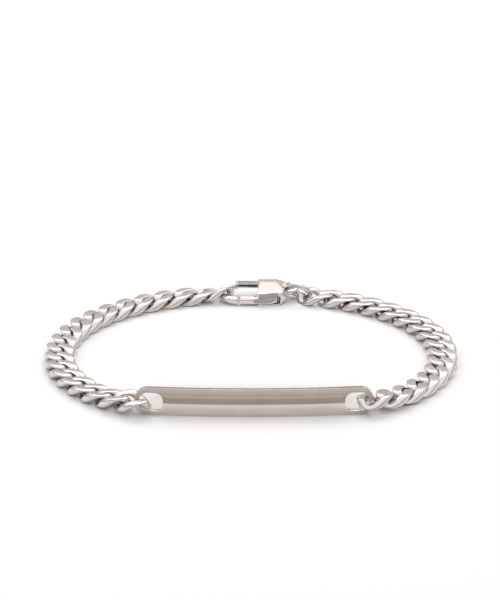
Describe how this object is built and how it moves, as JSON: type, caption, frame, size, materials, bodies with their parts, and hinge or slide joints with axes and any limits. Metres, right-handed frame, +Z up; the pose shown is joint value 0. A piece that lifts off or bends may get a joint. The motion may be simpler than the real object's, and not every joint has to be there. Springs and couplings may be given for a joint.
{
  "type": "id bracelet",
  "caption": "Polished silver-coloured bracelet: a curved blank name plate with a slot in each end, on a flat curb chain closed by a lobster clasp and jump ring, lying in a closed loop",
  "frame": {"origin": "middle of the whole bracelet, on the surface that it lies on", "axes": "X runs along the plate, from the left ring to the right one; Y runs from the plate at the front to the clasp at the back; Z points up"},
  "size_m": [0.0696, 0.0567, 0.0048],
  "materials": {
    "plate": "high polish",
    "chain": "polished",
    "clasp": "polished"
  },
  "bodies": {
    "bracelet": {"id_plate": "plate", "plate_ring_left": "chain", "plate_ring_right": "chain", "link_left_01": "chain", "link_left_02": "chain", "link_left_03": "chain", "link_left_04": "chain", "link_left_05": "chain", "link_left_06": "chain", "link_left_07": "chain", "link_left_08": "chain", "link_left_09": "chain", "link_left_10": "chain", "link_left_11": "chain", "link_left_12": "chain", "link_left_13": "chain", "link_left_14": "chain", "link_left_15": "chain", "link_left_16": "chain", "link_left_17": "chain", "link_left_18": "chain", "link_right_01": "chain", "link_right_02": "chain", "link_right_03": "chain", "link_right_04": "chain", "link_right_05": "chain", "link_right_06": "chain", "link_right_07": "chain", "link_right_08": "chain", "link_right_09": "chain", "link_right_10": "chain", "link_right_11": "chain", "link_right_12": "chain", "link_right_13": "chain", "link_right_14": "chain", "link_right_15": "chain", "link_right_16": "chain", "jump_ring": "chain", "clasp_body": "clasp"},
    "lever": {"clasp_lever": "clasp"}
  },
  "joints": [
    {"name": "lever_hinge", "type": "hinge", "parent": "bracelet", "child": "lever", "pos_m": [0.00313, 0.0224, 0.00087], "axis": [0, 0, -1], "range_deg": [0, 30], "stiffness_Nm_per_rad": 0.002}
  ]
}
